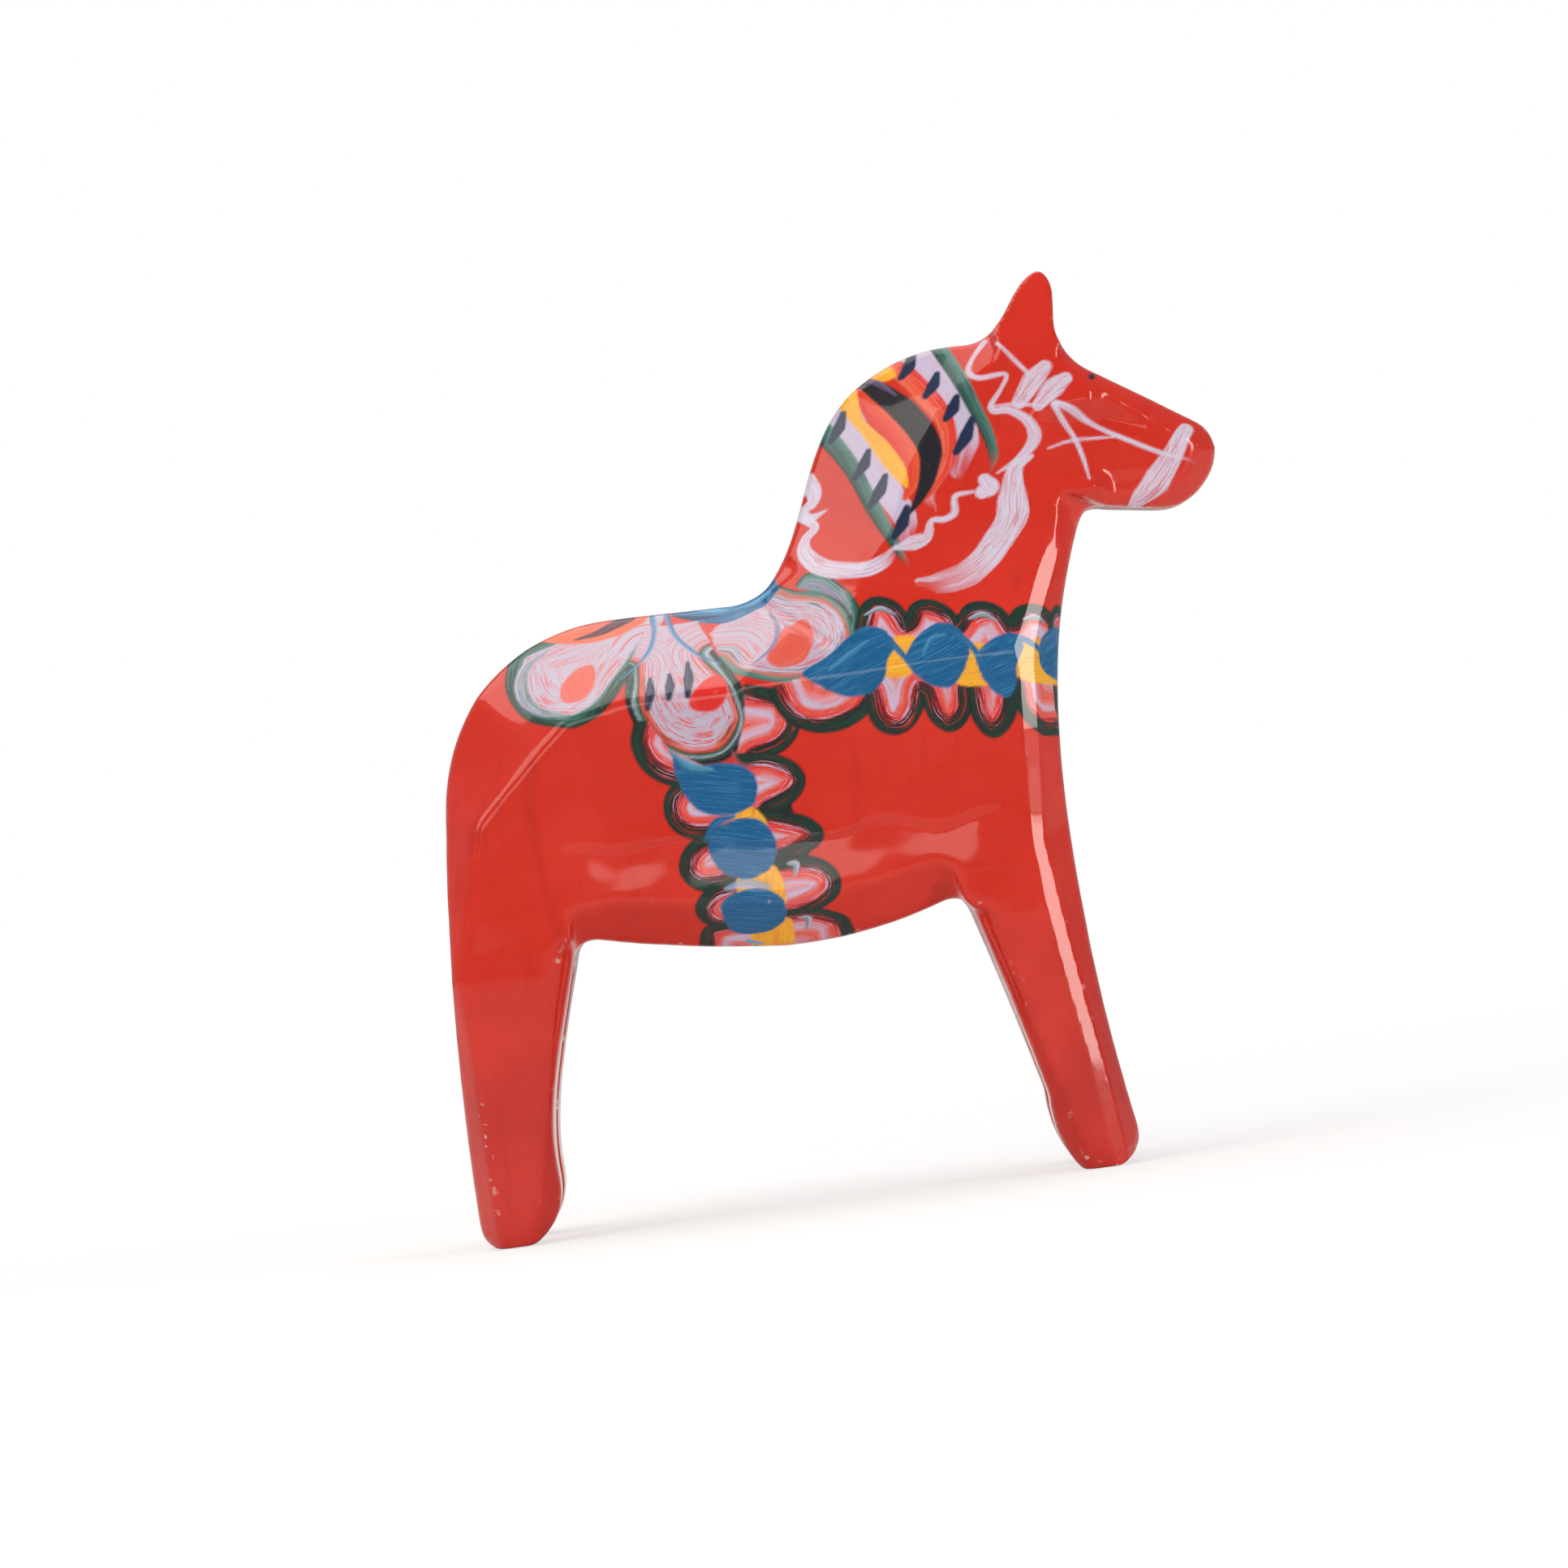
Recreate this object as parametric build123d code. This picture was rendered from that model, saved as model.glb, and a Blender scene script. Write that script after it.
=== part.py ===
from build123d import *
import math
import os

os.makedirs("parts", exist_ok=True)

# Overall sizes. X runs from rump to nose, Z up from the soles, Y across. The origin is on the floor.
length = 121.0
height = 130.0
body_width = 39.0

# Heights and lengths in the side outline.
back_height = 88.0
belly_height = 37.6
trunk_length = 92.2
sole_width = 7.0

# Half widths across the horse.
foot_half_width = 18.0
neck_half_width = 13.8
poll_half_width = 11.0
cheek_half_width = 9.6
muzzle_half_width = 6.8
ear_tip_half_width = 5.4
ear_tip_width = 2.2
ear_notch_depth = 8.5

# Knife work: how far each bevel reaches into the side, and how deep it goes from the side's surface.
spine_half_flat = 4.5
knife_overrun = 0.8
back_bevel = 12.0
crest_bevel = 13.5
rump_bevel = 5.0
rump_bevel_depth = 7.0
chest_bevel = 4.6
chest_bevel_depth = 6.0
belly_bevel = 6.4
belly_bevel_depth = 5.0
leg_bevel = 2.0
leg_bevel_depth = 2.5
head_bevel = 2.8
head_bevel_depth = 3.0

# The glued blank: a centre board without legs between two side boards.
centre_board_thickness = 11.0
crotch_height = 35.0
crotch_rise = 3.0
dowel_diameter = 8.0
dowel_length = 30.0
dowel_clearance = 0.1
dowel_end_gap = 0.5
dowel_chamfer = 0.8
dowel_height = 64.0
dowel_inset = 20.0

rump_x = -length / 2
nose_x = length / 2
chest_x = rump_x + trunk_length
half_width = body_width / 2
half_centre = centre_board_thickness / 2

# Stations of the side outline, as (x, z), in runs that share their end points.
hind_heel = (rump_x + 0.1, 4.0)
hind_sole_back = (rump_x + 2.2, 0)
hind_sole_front = (hind_sole_back[0] + sole_width - 1.4, 0)
hind_fetlock = (rump_x + 12.5, 10.5)
stifle = (rump_x + 18.6, 39.0)
flank_corner = (rump_x + 22.0, belly_height + 4.7)
belly_low = (rump_x + 49.5, belly_height)
elbow = (chest_x - 19.0, belly_height + 3.5)
elbow_corner = (chest_x - 15.4, belly_height + 1.2)
fore_fetlock = (chest_x - 8.2, 11.3)
fore_sole_back = (chest_x - 4.8, 0)
fore_sole_front = (fore_sole_back[0] + sole_width - 1.4, 0)
fore_toe = (chest_x + 4.2, 4.2)
throat = (nose_x - 21.0, height - 36.7)
jaw_back = (nose_x - 18.0, height - 35.5)
jaw_front = (nose_x - 9.0, height - 36.9)
nose_top = (nose_x - 1.6, height - 25.4)
forehead = (nose_x - 15.8, height - 16.2)
ear_front = (nose_x - 20.4, height - 11.0)
ear_tip = (nose_x - 22.2, height)
poll = (nose_x - 34.0, height - 9.5)
crest = (nose_x - 52.0, height - 14.5)
neck_foot = (nose_x - 67.6, back_height + 1.3)
withers = (nose_x - 74.4, back_height - 0.3)
croup = (rump_x + 30.0, back_height)
hip = (rump_x + 9.7, back_height - 8.7)
buttock = (rump_x + 3.0, back_height - 25.6)


def side_outline():
    runs = [
        [hind_heel, (rump_x + 0.7, 1.5), hind_sole_back],
        [hind_sole_back, hind_sole_front],
        [hind_sole_front, (hind_sole_front[0] + 3.2, 2.9), hind_fetlock],
        [hind_fetlock, (rump_x + 14.2, 23.8), (rump_x + 16.8, 33.0), stifle],
        [stifle, (rump_x + 20.0, belly_height + 4.1), flank_corner],
        [flank_corner, (rump_x + 31.5, belly_height + 2.6), belly_low],
        [belly_low, (chest_x - 27.2, belly_height + 1.3), elbow],
        [elbow, (chest_x - 17.2, belly_height + 3.4), elbow_corner],
        [elbow_corner, (chest_x - 13.8, 33.0), fore_fetlock],
        [fore_fetlock, (chest_x - 6.9, 3.6), fore_sole_back],
        [fore_sole_back, fore_sole_front],
        [fore_sole_front, (chest_x + 3.0, 1.4), fore_toe],
        [fore_toe, (chest_x + 2.5, 15.2), (chest_x + 0.1, 48.0), (chest_x + 2.0, 75.0), throat],
        [throat, (throat[0] + 1.2, jaw_back[1] - 0.1), jaw_back],
        [jaw_back, jaw_front],
        [jaw_front, (nose_x - 3.5, height - 35.2), (nose_x, height - 29.0), nose_top],
        [nose_top, (nose_x - 6.0, height - 22.5), forehead],
        [forehead, (nose_x - 19.2, height - 13.4), ear_front],
        [ear_front, (nose_x - 20.6, height - 5.0), (nose_x - 21.0, height - 1.2), ear_tip],
        [ear_tip, (ear_tip[0] - 1.4, height - 0.6), (nose_x - 28.2, height - 6.0), poll],
        [poll, (nose_x - 42.4, height - 9.9), crest],
        [crest, (nose_x - 55.7, height - 18.6), (nose_x - 61.3, height - 30.2), neck_foot],
        [neck_foot, (neck_foot[0] - 3.0, back_height - 0.1), withers],
        [withers, croup],
        [croup, (rump_x + 18.2, back_height - 2.4), hip],
        [hip, (rump_x + 5.2, back_height - 16.2), buttock],
        [buttock, (rump_x + 1.0, back_height - 48.0), (rump_x, back_height - 72.0), hind_heel],
    ]
    edges = [Spline(*run) if len(run) > 2 else Line(*run) for run in runs]
    return make_face(Curve() + edges)


# Half widths at heights seen from the front, and along the horse seen from above.
front_widths = [
    (0, foot_half_width),
    (belly_height, half_width),
    (back_height - back_bevel, half_width),
    (back_height + 2.0, neck_half_width),
    (height - 20.0, poll_half_width),
    (height - 11.0, cheek_half_width),
    (height, ear_tip_half_width),
]
top_widths = [
    (rump_x, half_width),
    (fore_toe[0] + 1.0, half_width),
    (nose_x - 16.0, cheek_half_width),
    (nose_x, muzzle_half_width),
]


def width_at(widths, place):
    """The half width between the two stations beside a place."""
    for (start, first), (end, second) in zip(widths, widths[1:]):
        if place <= end:
            return first + (second - first) * max(0, place - start) / (end - start)
    return widths[-1][1]


def front_outline():
    """The horse seen along X, with the notch between the ears."""
    right = [Vector(width, at) for at, width in front_widths]
    right.append(Vector(ear_tip_half_width - ear_tip_width, height))
    left = [Vector(-point.X, point.Y) for point in reversed(right)]
    notch = Vector(0, height - ear_notch_depth)
    return make_face(Polyline(*right, notch, *left, close=True))


def top_outline():
    """The horse seen from above, which tapers the head to the muzzle."""
    left = [Vector(at, width) for at, width in top_widths]
    right = [Vector(point.X, -point.Y) for point in reversed(left)]
    return make_face(Polyline(*left, *right, close=True))


def knife_cut(stations):
    """Both flanks' cutters for one bevel that runs past its stations.

    A station is an outline point, the way out of the wood there in degrees, how far the bevel reaches
    into the side, and how deep it goes in from the side's surface.
    """
    sections = []
    for (x, z), way_out, reach, depth in stations:
        angle = math.radians(way_out)
        out = Vector(math.cos(angle), 0, math.sin(angle))
        inside = Vector(x, 0, z) - out * reach
        surface = min(width_at(front_widths, inside.Z), width_at(top_widths, inside.X))
        edge = Vector(x, surface - depth, z)
        side = Vector(inside.X, surface, inside.Z)
        low = edge + (edge - side) * knife_overrun
        high = side + (side - edge) * knife_overrun
        sections.append(Face(Wire.make_polygon([low, high, Vector(low.X, high.Y, low.Z)])))
    cut = loft(sections, ruled=True)
    return [cut, mirror(cut, Plane.XZ)]


def past(point, forward, up):
    return (point[0] + forward, point[1] + up)


def bevels():
    spine_depth = half_width - spine_half_flat
    crest_depth = poll_half_width - spine_half_flat
    back = [
        (past(buttock, -2.6, -24.0), 178, 1.5, 2.0),
        (buttock, 168, rump_bevel, rump_bevel_depth),
        (hip, 132, back_bevel, spine_depth - 3.5),
        (past(hip, 8.5, 6.3), 108, back_bevel, spine_depth - 1.0),
        (croup, 92, back_bevel, spine_depth),
        (withers, 90, back_bevel, spine_depth),
        (past(neck_foot, 6.0, 0), 92, back_bevel / 3, spine_depth / 4),
    ]
    mane = [
        (past(neck_foot, -1.5, -2.5), 140, crest_bevel, crest_depth + 3.5),
        (past(neck_foot, 6.3, 10.6), 154, crest_bevel, crest_depth + 2.0),
        (past(crest, -3.7, -4.1), 143, crest_bevel, crest_depth + 1.0),
        (crest, 128, crest_bevel, crest_depth),
        (past(crest, 9.6, 4.6), 106, crest_bevel * 0.7, crest_depth - 0.5),
        (past(poll, 4.0, 0.5), 92, crest_bevel / 4, crest_depth / 2),
    ]
    chest = [
        (past(throat, 1.4, 2.2), 335, chest_bevel, chest_bevel_depth * 0.8),
        (past(throat, -5.9, -18.3), 350, chest_bevel, chest_bevel_depth),
        (past(throat, -7.8, -45.3), 0, chest_bevel, chest_bevel_depth),
        (past(fore_toe, -3.1, 23.0), 8, chest_bevel * 0.7, chest_bevel_depth * 0.8),
        (past(fore_toe, -1.7, 11.0), 8, chest_bevel * 0.6, chest_bevel_depth * 0.8),
        (past(fore_toe, 0.2, -6.0), 8, chest_bevel * 0.6, chest_bevel_depth * 0.8),
    ]
    belly = [
        (past(stifle, 0.6, 3.3), 268, belly_bevel * 0.7, belly_bevel_depth * 0.8),
        (past(flank_corner, 3.0, -0.3), 262, belly_bevel * 0.85, belly_bevel_depth),
        (belly_low, 270, belly_bevel, belly_bevel_depth),
        (past(elbow, -8.2, -2.2), 284, belly_bevel, belly_bevel_depth),
        (elbow, 280, belly_bevel * 0.9, belly_bevel_depth),
        (past(elbow_corner, -1.6, 2.3), 275, belly_bevel * 0.7, belly_bevel_depth * 0.8),
    ]
    hind_shin = [
        (past(stifle, 0.9, 3.0), 345, leg_bevel, leg_bevel_depth),
        (past(stifle, -1.8, -6.0), 346, leg_bevel, leg_bevel_depth),
        (hind_fetlock, 358, leg_bevel, leg_bevel_depth),
        (past(hind_sole_front, 1.6, -1.0), 330, leg_bevel, leg_bevel_depth),
    ]
    fore_shin = [
        (past(elbow_corner, 0.2, 0.3), 197, leg_bevel, leg_bevel_depth),
        (past(elbow_corner, 1.6, -5.8), 195, leg_bevel, leg_bevel_depth),
        (fore_fetlock, 190, leg_bevel, leg_bevel_depth),
        (past(fore_sole_back, -0.8, -1.0), 205, leg_bevel, leg_bevel_depth),
    ]
    hock = [
        (past(buttock, -2.4, -20.0), 178, 1.5, 2.0),
        (past(hind_heel, 0, 25.0), 180, leg_bevel * 1.3, leg_bevel_depth * 1.5),
        (past(hind_heel, 0.3, -5.0), 180, leg_bevel * 1.3, leg_bevel_depth * 1.5),
    ]
    head = [
        (past(throat, -1.5, -0.3), 290, head_bevel, head_bevel_depth),
        (jaw_back, 275, head_bevel, head_bevel_depth),
        (jaw_front, 280, head_bevel, head_bevel_depth),
        ((nose_x - 3.5, height - 35.2), 315, head_bevel, head_bevel_depth),
        ((nose_x, height - 29.0), 352, head_bevel, head_bevel_depth),
        (nose_top, 50, head_bevel, head_bevel_depth),
        ((nose_x - 6.0, height - 22.5), 62, head_bevel, head_bevel_depth),
        (forehead, 58, head_bevel, head_bevel_depth),
        (past(forehead, -5.0, 4.0), 50, head_bevel / 2, head_bevel_depth / 2),
    ]
    cuts = []
    for stations in (back, mane, chest, belly, hind_shin, fore_shin, hock, head):
        cuts += knife_cut(stations)
    return cuts


def carved_horse():
    side = extrude(Plane.XZ * side_outline(), half_width, both=True)
    front = extrude(Plane.YZ * front_outline(), length, both=True)
    top = extrude(top_outline(), height)
    horse = side & front & top
    for cut in bevels():
        horse = horse - cut
    return horse


def leg_gap():
    """The room between the left and right legs, under the centre board, and clear of both soles."""
    under = [
        Vector(rump_x - 1.0, -1.0),
        Vector(rump_x - 1.0, crotch_height - 2.0),
        Vector(rump_x + 8.0, crotch_height),
        Vector(flank_corner[0] + 2.0, belly_height + crotch_rise),
        Vector(elbow[0] - 2.0, belly_height + crotch_rise),
        Vector(chest_x - 4.0, crotch_height),
        Vector(fore_toe[0] + 1.0, crotch_height - 3.0),
        Vector(fore_toe[0] + 1.0, -1.0),
    ]
    return extrude(Plane.XZ * make_face(Polyline(*under, close=True)), half_centre, both=True)


def dowel_at(x, diameter, whole_length):
    return Pos(x, 0, dowel_height) * Rot(90, 0, 0) * Cylinder(diameter / 2, whole_length)


def dowel(x):
    blank = dowel_at(x, dowel_diameter, dowel_length)
    ends = blank.edges().filter_by(GeomType.CIRCLE)
    return chamfer(ends, dowel_chamfer)


def slab(inner, outer):
    middle = (inner + outer) / 2
    return Pos(0, middle, height / 2) * Box(2 * length, outer - inner, 2 * height)


horse = carved_horse()
dowel_places = {"front_dowel": chest_x - dowel_inset, "rear_dowel": rump_x + dowel_inset}
for x in dowel_places.values():
    hole = dowel_at(x, dowel_diameter + dowel_clearance, dowel_length + 2 * dowel_end_gap)
    horse = horse - hole

boards = {
    "right_side_board": horse & slab(-body_width, -half_centre),
    "centre_board": (horse & slab(-half_centre, half_centre)) - leg_gap(),
    "left_side_board": horse & slab(half_centre, body_width),
}
dowels = {name: dowel(x) for name, x in dowel_places.items()}

for name, piece in (boards | dowels).items():
    piece.label = name
    export_step(piece, f"parts/{name}.step")
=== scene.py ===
import math

import bmesh
import bpy
import numpy as np
from mathutils import Matrix, Vector, noise
from mathutils.bvhtree import BVHTree


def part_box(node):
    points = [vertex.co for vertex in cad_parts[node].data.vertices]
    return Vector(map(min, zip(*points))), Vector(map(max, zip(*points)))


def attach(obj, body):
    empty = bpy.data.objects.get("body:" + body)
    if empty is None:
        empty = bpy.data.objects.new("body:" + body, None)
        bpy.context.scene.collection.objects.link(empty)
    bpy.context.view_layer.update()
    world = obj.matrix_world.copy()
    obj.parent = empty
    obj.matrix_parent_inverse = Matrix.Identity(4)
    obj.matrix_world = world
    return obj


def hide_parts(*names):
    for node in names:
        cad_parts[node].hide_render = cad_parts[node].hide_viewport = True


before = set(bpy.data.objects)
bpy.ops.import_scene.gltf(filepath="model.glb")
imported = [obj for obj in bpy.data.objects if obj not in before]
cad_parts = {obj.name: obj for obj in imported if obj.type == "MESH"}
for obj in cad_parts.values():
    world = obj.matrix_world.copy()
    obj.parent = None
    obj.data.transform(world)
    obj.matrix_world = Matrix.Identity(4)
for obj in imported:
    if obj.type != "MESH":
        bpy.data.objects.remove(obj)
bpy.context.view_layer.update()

mm = 0.001

# The carved blank. Two side boards and a centre board are glued up, sawn to the horse's outline and
# cut with a knife into broad flat faces, whose edges are then sanded round. The skin is made as one
# surface first, because knife, sandpaper, lacquer and paint all run across the glue lines.
board_names = ("right_side_board", "centre_board", "left_side_board")
saw_grain = 0.5 * mm
sanding_passes = 8
ear_spared = 0.85
knife_unevenness = 0.15 * mm
stop_cut_depth = 0.36
breast_cut_depth = 0.42
breast_cut_turn = math.radians(25)
half_body = max(abs(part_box(board_names[0])[0][1]), abs(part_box(board_names[2])[1][1])) / mm
fine_skin_from = {"girth": (-29, 2, 35), "saddle": (-49, 62, 61), "head": (20, 62, 90)}


def smooth(low, high, value):
    t = np.clip((value - low) / (high - low), 0, 1)
    return t * t * (3 - 2 * t)


def evaluated_mesh(obj):
    return bpy.data.meshes.new_from_object(obj.evaluated_get(bpy.context.evaluated_depsgraph_get()))


def glued_blank():
    bm = bmesh.new()
    for name in board_names:
        bm.from_mesh(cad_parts[name].data)
    mesh = bpy.data.meshes.new("glued_blank")
    bm.to_mesh(mesh)
    bm.free()
    blank = bpy.data.objects.new("glued_blank", mesh)
    bpy.context.scene.collection.objects.link(blank)
    saw = blank.modifiers.new("saw", "REMESH")
    saw.mode = "VOXEL"
    saw.voxel_size = saw_grain
    bpy.context.view_layer.update()
    skin = evaluated_mesh(blank)
    bpy.data.objects.remove(blank)
    return skin


def largest_shell(mesh):
    """The outer skin alone, without the walls of the dowel holes shut inside it."""
    bm = bmesh.new()
    bm.from_mesh(mesh)
    left, shells = set(bm.verts), []
    while left:
        shell, edge_of_search = set(), [left.pop()]
        while edge_of_search:
            vert = edge_of_search.pop()
            shell.add(vert)
            for edge in vert.link_edges:
                other = edge.other_vert(vert)
                if other in left:
                    left.remove(other)
                    edge_of_search.append(other)
        shells.append(shell)
    shells.sort(key=len)
    for shell in shells[:-1]:
        bmesh.ops.delete(bm, geom=list(shell), context="VERTS")
    bm.to_mesh(mesh)
    bm.free()


def vectors(mesh, value="co"):
    found = np.empty(len(mesh.vertices) * 3, np.float32)
    mesh.vertices.foreach_get(value, found)
    return found.reshape(-1, 3).astype(float)


def move_to(mesh, points):
    mesh.vertices.foreach_set("co", points.astype(np.float32).ravel())
    mesh.update()


def edge_ends(mesh):
    ends = np.empty(len(mesh.edges) * 2, np.int32)
    mesh.edges.foreach_get("vertices", ends)
    return ends.reshape(-1, 2).T


def surface(mesh):
    """The skin in mm, ready to be felt."""
    return BVHTree.FromPolygons([v.co / mm for v in mesh.vertices], [p.vertices for p in mesh.polygons])


def touched(feel, x, z):
    """Where a finger that comes from the right flank's side meets the skin."""
    return feel.ray_cast(Vector((x, -100, z)), Vector((0, 1, 0)))[0]


def sand(mesh):
    """Rounds every edge a little, and the ears less, which keep their points."""
    points = vectors(mesh)
    a, b = edge_ends(mesh)
    joined = np.bincount(np.concatenate((a, b)), minlength=len(points))
    ear = smooth(118, 123, points[:, 2] / mm)
    strength = 0.5 * (1 - ear_spared * ear)
    for _ in range(sanding_passes):
        total = np.zeros_like(points)
        for k in range(3):
            total[:, k] = np.bincount(a, points[b, k], len(points)) + np.bincount(b, points[a, k], len(points))
        points += strength[:, None] * (total / joined[:, None] - points)
    move_to(mesh, points)


def felt_width(feel, x, z):
    spot = touched(feel, x, z)
    return half_body if spot is None else -spot.y


def cheek_cut(mesh):
    """One flat face down the side of the head, from below the ear to the muzzle."""
    points = vectors(mesh) / mm
    feel = surface(mesh)
    jaw, brow, muzzle_top = 97, 115, 107
    heights = np.arange(jaw, brow, 1.0)
    back, front = 33.0, 54.0
    at_back = np.interp(points[:, 2], heights, [felt_width(feel, back, height) for height in heights])
    at_front = np.interp(points[:, 2], heights,
                         [felt_width(feel, front, min(height, muzzle_top)) for height in heights])
    flat = at_back + (points[:, 0] - back) / (front - back) * (at_front - at_back)
    x, y, z = points.T
    brow_x, brow_slope = 44.7, 0.65
    forehead = 113.5 - brow_slope * np.maximum(x - brow_x, 0)
    part = smooth(97.5, 100, z) * (1 - smooth(forehead - 6.5, forehead - 3.5, z))
    part[(x < back) | (x > front)] = 0
    points[:, 1] += np.sign(y) * (flat - np.abs(y)) * part
    move_to(mesh, points * mm)


def knife_waver(mesh):
    """The slow unevenness that a knife leaves on a hand-cut face."""
    points, normals = vectors(mesh), vectors(mesh, "normal")
    slow = np.array([noise.noise(Vector(p) / (15 * mm)) for p in points])
    quick = np.array([noise.noise(Vector(p) / (5 * mm) + Vector((7, 3, 1))) for p in points])
    inward = knife_unevenness * (0.5 + 0.7 * slow + 0.25 * quick)
    move_to(mesh, points - normals * inward[:, None])


def stop_cut(mesh):
    """A shallow cut along the flank over the belly, deepest at its upper edge, so that it tips upward."""
    points = vectors(mesh) / mm
    x, y, z = points.T
    bottom, usual_top, raised_behind, raggedness = 45.8, 52.5, 2.2, 1.6
    ragged = np.array([noise.noise(Vector((a / 9, 3.0, 1.0 if b > 0 else 5.0))) for a, b in zip(x, y)])
    top = usual_top + raised_behind * (1 - smooth(-30, -8, x)) + raggedness * ragged
    rise = (z - bottom) / (top - bottom)
    depth = np.where(rise < 1, np.clip(rise, 0, 1), 1 - smooth(0, 0.9, z - top))
    ends = smooth(-42, -37, x) * (1 - smooth(17, 23, x))
    on_flank = smooth(half_body - 1.6, half_body - 0.7, np.abs(y))
    points[:, 1] -= np.sign(y) * stop_cut_depth * depth * ends * on_flank
    move_to(mesh, points * mm)


def breast_cut(mesh):
    """One long narrow cut that takes off the sharp ridge between flank and breast, from throat to toe."""
    points = vectors(mesh) / mm
    feel = surface(mesh)
    breast_from, leg_inside, clear_fall, deepest = 14, 6, 0.5, 1.5
    toe, throat = 2, 94
    heights = np.arange(toe, throat, 2.0)
    ridge_x, ridge_y = [], []
    for height in heights:
        reach = np.arange(breast_from, 40, 0.25)
        felt = [touched(feel, x, height) for x in reach]
        reach = np.array([x for x, spot in zip(reach, felt) if spot is not None and spot.y < -leg_inside])
        width = np.array([-spot.y for spot in felt if spot is not None and spot.y < -leg_inside])
        falls = np.nonzero(np.maximum.accumulate(width) - width > clear_fall)[0]
        turn = max(falls[0] - 3, 0) if len(falls) else len(reach) - 1
        ridge_x.append(reach[turn])
        ridge_y.append(width[turn])
    steady = np.ones(5) / 5
    ridge_x, ridge_y = (np.convolve(np.pad(v, 2, "edge"), steady, "valid") for v in (ridge_x, ridge_y))
    x, y, z = points.T
    out_x, out_y = math.sin(breast_cut_turn), math.cos(breast_cut_turn)
    proud = (x - np.interp(z, heights, ridge_x)) * out_x + (np.abs(y) - np.interp(z, heights, ridge_y)) * out_y
    over = np.maximum(proud + breast_cut_depth, 0) * (1 - smooth(88, throat, z))
    over[(x < breast_from) | (np.abs(y) < leg_inside) | (over > deepest)] = 0
    points[:, 0] -= over * out_x
    points[:, 1] -= np.sign(y) * over * out_y
    move_to(mesh, points * mm)


def refine(mesh):
    """Halves the mesh where it will carry brush strokes."""
    bm = bmesh.new()
    bm.from_mesh(mesh)
    edges = set()
    for face in bm.faces:
        x, _, z = face.calc_center_median() / mm
        if any(low < x < high and z > lowest for low, high, lowest in fine_skin_from.values()):
            edges.update(face.edges)
    bmesh.ops.subdivide_edges(bm, edges=list(edges), cuts=1, use_grid_fill=True)
    bm.to_mesh(mesh)
    bm.free()


skin = glued_blank()
largest_shell(skin)
cheek_cut(skin)
sand(skin)
knife_waver(skin)
refine(skin)
stop_cut(skin)
breast_cut(skin)

# The ground coat: two coats of thick red lacquer, brushed on and left glossy, its red made darker towards the
# feet.
# Every colour below is kept on the skin's points, with a second colour that shows between the brush's hairs,
# how much it shows, and the hairs' direction.


def tint(red, green, blue):
    """A colour as mixed on the palette, in linear light."""
    levels = np.array((red, green, blue)) / 255
    return np.where(levels <= 0.04045, levels / 12.92, ((levels + 0.055) / 1.055) ** 2.4)


red_lacquer = tint(208, 38, 14)
darker_red_lacquer = tint(194, 34, 22)


chest_unrolls, back_unrolls, belly_unrolls = 0.9, 0.5, 0.6


def unrolled(points):
    """Where a point of the skin, in mm, lies on a pattern laid flat from back to belly and round the chest."""
    x, y, z = points.T
    inward = half_body - np.abs(y)
    round_chest = smooth(15, 22, x) * (1 - smooth(86, 96, z))
    over_back = (1 - round_chest) * smooth(68, 80, z)
    under_belly = 1 - smooth(40, 48, z)
    forward = x + chest_unrolls * inward * round_chest
    up = z + back_unrolls * inward * over_back - belly_unrolls * inward * under_belly
    return np.stack((forward, up), axis=1)


skin_points = vectors(skin) / mm
laid_flat = unrolled(skin_points)
feel = surface(skin)
# The red turns darker from 46 mm above the floor down to the feet.
darker_towards_feet = 1 - smooth(8, 46, skin_points[:, 2])
colour = red_lacquer + (darker_red_lacquer - red_lacquer) * darker_towards_feet[:, None]
between_hairs = colour.copy()
hair_show, hair_across, hair_along, paint_body, paint_cover = np.zeros((5, len(colour)))


def on_pattern(points):
    """Side-view places, as (forward, up) in mm, put on the flat pattern."""
    laid = []
    for x, z in points:
        spot = touched(feel, x, z)
        if spot is None:
            spot = feel.find_nearest(Vector((x, -5, z)))[0]
        laid.append(unrolled(np.array([[x, spot.y, z]]))[0])
    return np.array(laid)


def drawn(points, closed=False, steps=8):
    """A smooth hand-drawn line through the points."""
    points = np.asarray(points, float)
    if closed:
        padded = np.concatenate((points[-1:], points, points[:2]))
    else:
        padded = np.concatenate((2 * points[:1] - points[1:2], points, 2 * points[-1:] - points[-2:-1]))
    line = []
    for a, b, c, d in zip(padded, padded[1:], padded[2:], padded[3:]):
        for t in np.arange(steps) / steps:
            bend = (c - a) * t + (2 * a - 5 * b + 4 * c - d) * t ** 2 + (3 * b - a - 3 * c + d) * t ** 3
            line.append(b + bend / 2)
    line.append(points[0] if closed else points[-1])
    return np.array(line)


def measured(line, places):
    """How far each place is from the line, how far along, on which side, and the fraction along."""
    start, leg = line[:-1], np.diff(line, axis=0)
    length = np.maximum(np.hypot(*leg.T), 1e-6)
    gap = places[:, None] - start
    t = np.clip((gap * leg).sum(axis=2) / length ** 2, 0, 1)
    off = gap - t[:, :, None] * leg
    distance = np.hypot(off[:, :, 0], off[:, :, 1])
    rows = np.arange(len(places))
    best = distance.argmin(axis=1)
    along = (np.cumsum(length) - length)[best] + t[rows, best] * length[best]
    cross = leg[best, 0] * off[rows, best, 1] - leg[best, 1] * off[rows, best, 0]
    return distance[rows, best], along, np.where(cross >= 0, 1.0, -1.0), (best + t[rows, best]) / len(leg)


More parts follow.
